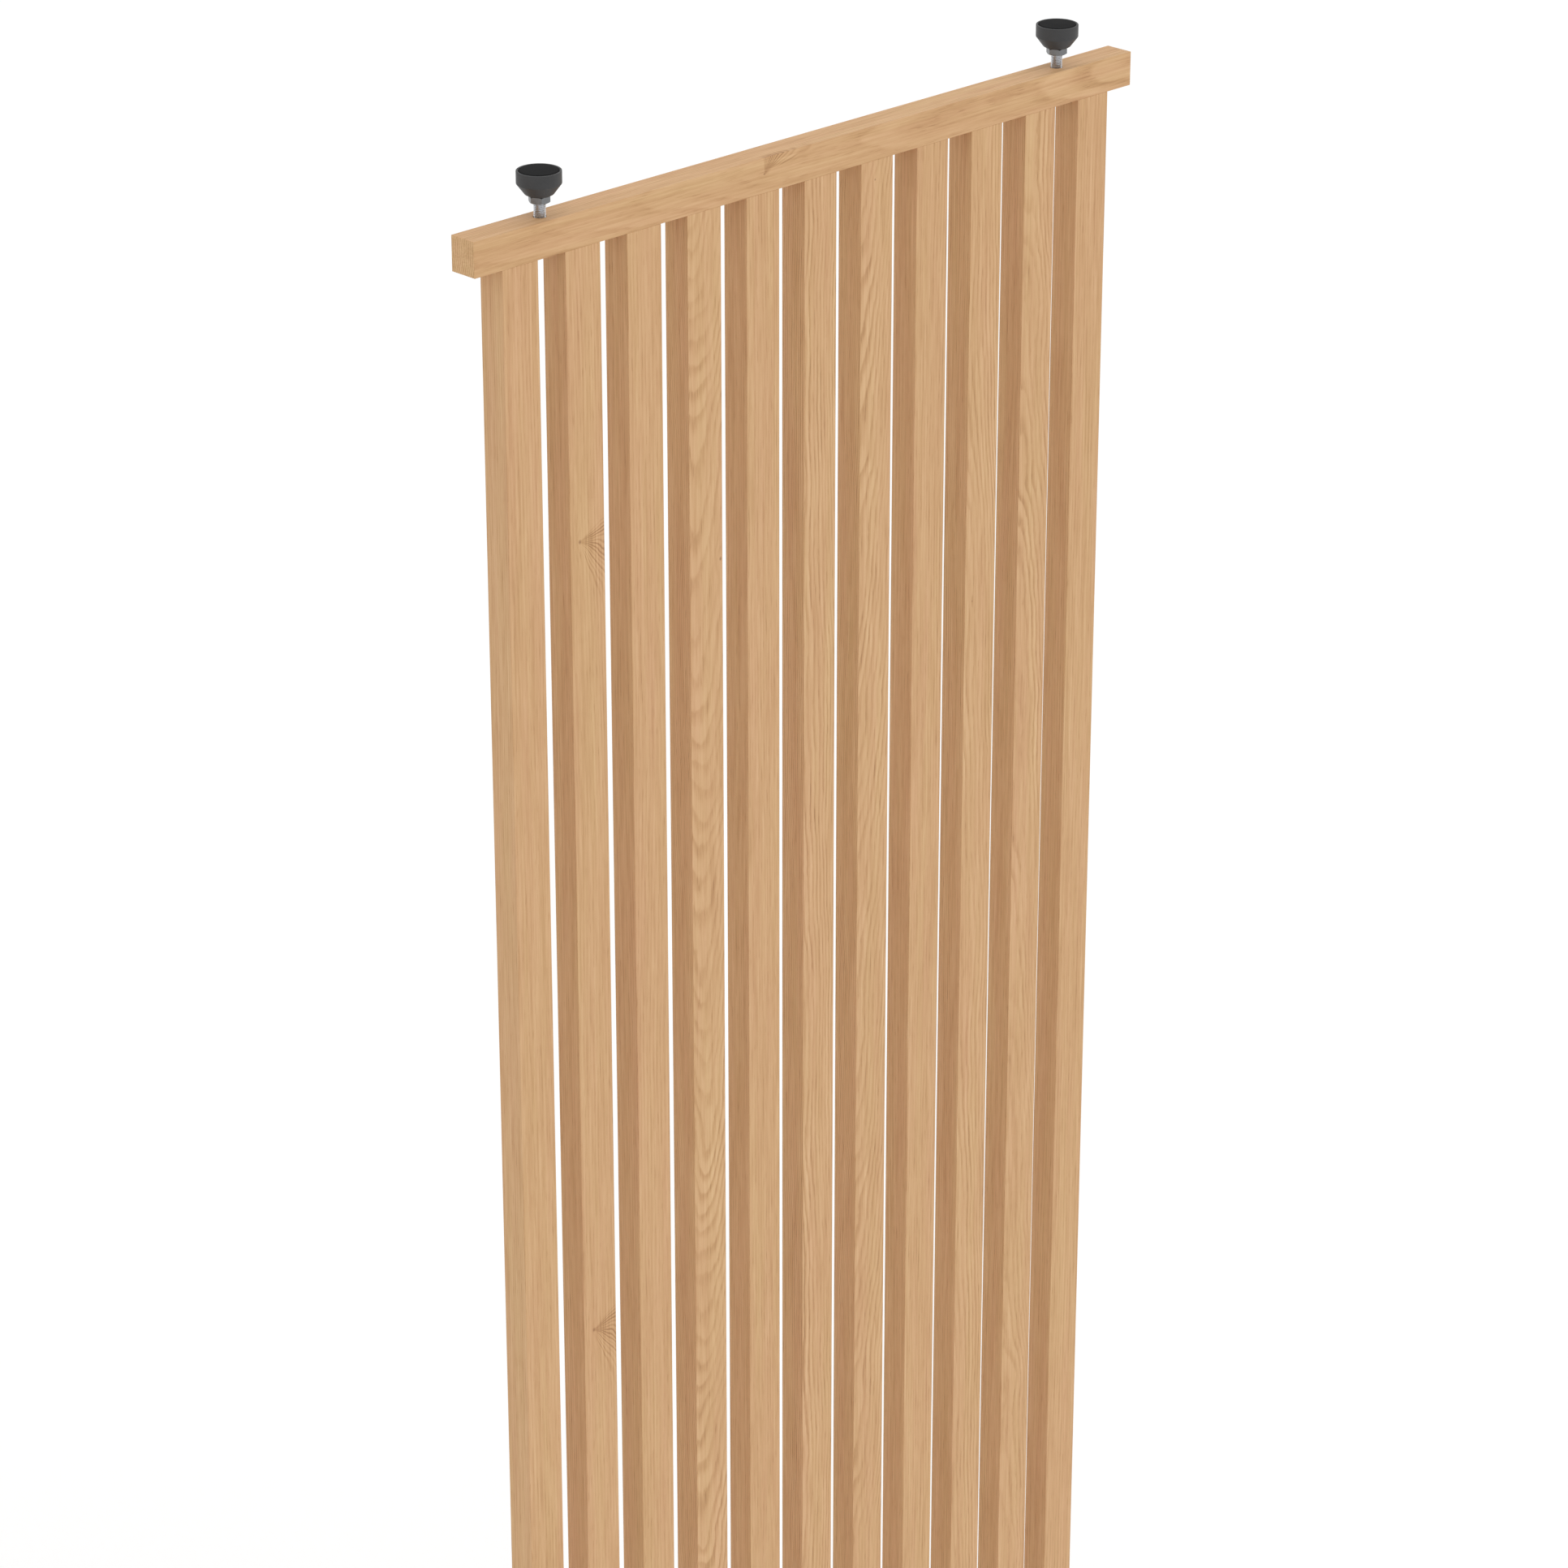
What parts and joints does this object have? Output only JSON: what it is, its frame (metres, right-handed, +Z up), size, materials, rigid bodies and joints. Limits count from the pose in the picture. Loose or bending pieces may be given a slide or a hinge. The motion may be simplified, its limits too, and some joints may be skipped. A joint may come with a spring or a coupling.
{
  "type": "wooden slat partition",
  "caption": "Open room divider of upright oak slats between two rails, clamped between floor and ceiling by screw jacks with rubber-faced pads.",
  "frame": {"origin": "on the floor, under the middle of the partition, between the two lower pads", "axes": "+X along the width to the right seen from the front, -Y towards the front, +Z up"},
  "size_m": [0.915, 0.044, 2.5],
  "materials": {
    "rail_oak": "clear matt oil, straight grain along the rail",
    "slat_oak": "clear matt oil, grain along the slat",
    "dowel_beech": "raw fluted dowel",
    "insert_steel": "zinc plated",
    "stud_steel": "bright zinc plated thread",
    "nut_steel": "bright zinc plated",
    "pad_plastic": "fine moulded texture",
    "grip_rubber": "matt"
  },
  "bodies": {
    "frame": {"top_rail": "rail_oak", "bottom_rail": "rail_oak", "slat_01": "slat_oak", "slat_02": "slat_oak", "slat_03": "slat_oak", "slat_04": "slat_oak", "slat_05": "slat_oak", "slat_06": "slat_oak", "slat_07": "slat_oak", "slat_08": "slat_oak", "slat_09": "slat_oak", "slat_10": "slat_oak", "slat_11": "slat_oak", "top_dowels": "dowel_beech", "bottom_dowels": "dowel_beech", "top_left_insert": "insert_steel", "top_right_insert": "insert_steel", "bottom_left_insert": "insert_steel", "bottom_right_insert": "insert_steel"},
    "top_left_foot": {"top_left_pad": "pad_plastic", "top_left_grip": "grip_rubber"},
    "top_left_screw": {"top_left_stud": "stud_steel", "top_left_nut": "nut_steel"},
    "top_right_foot": {"top_right_pad": "pad_plastic", "top_right_grip": "grip_rubber"},
    "top_right_screw": {"top_right_stud": "stud_steel", "top_right_nut": "nut_steel"},
    "bottom_left_foot": {"bottom_left_pad": "pad_plastic", "bottom_left_grip": "grip_rubber"},
    "bottom_left_screw": {"bottom_left_stud": "stud_steel", "bottom_left_nut": "nut_steel"},
    "bottom_right_foot": {"bottom_right_pad": "pad_plastic", "bottom_right_grip": "grip_rubber"},
    "bottom_right_screw": {"bottom_right_stud": "stud_steel", "bottom_right_nut": "nut_steel"}
  },
  "joints": [
    {"name": "top_left_rise", "type": "slide", "parent": "frame", "child": "top_left_foot", "axis": [0, 0, 1], "range_m": [-0.013, 0.016]},
    {"name": "top_left_turn", "type": "hinge", "parent": "top_left_foot", "child": "top_left_screw", "pos_m": [-0.36, 0, 2.47], "axis": [0, 0, 1], "range_deg": [-2676, 3294]},
    {"name": "top_right_rise", "type": "slide", "parent": "frame", "child": "top_right_foot", "axis": [0, 0, 1], "range_m": [-0.013, 0.016]},
    {"name": "top_right_turn", "type": "hinge", "parent": "top_right_foot", "child": "top_right_screw", "pos_m": [0.36, 0, 2.47], "axis": [0, 0, 1], "range_deg": [-2676, 3294]},
    {"name": "bottom_left_rise", "type": "slide", "parent": "frame", "child": "bottom_left_foot", "axis": [0, 0, -1], "range_m": [-0.013, 0.016]},
    {"name": "bottom_left_turn", "type": "hinge", "parent": "bottom_left_foot", "child": "bottom_left_screw", "pos_m": [-0.36, 0, 0.03], "axis": [0, 0, -1], "range_deg": [-2676, 3294]},
    {"name": "bottom_right_rise", "type": "slide", "parent": "frame", "child": "bottom_right_foot", "axis": [0, 0, -1], "range_m": [-0.013, 0.016]},
    {"name": "bottom_right_turn", "type": "hinge", "parent": "bottom_right_foot", "child": "bottom_right_screw", "pos_m": [0.36, 0, 0.03], "axis": [0, 0, -1], "range_deg": [-2676, 3294]}
  ],
  "couplings": [
    {"joint": "top_left_turn", "follows": "top_left_rise", "rad_per_m": 3590.4},
    {"joint": "top_right_turn", "follows": "top_right_rise", "rad_per_m": 3590.4},
    {"joint": "bottom_left_turn", "follows": "bottom_left_rise", "rad_per_m": 3590.4},
    {"joint": "bottom_right_turn", "follows": "bottom_right_rise", "rad_per_m": 3590.4}
  ]
}
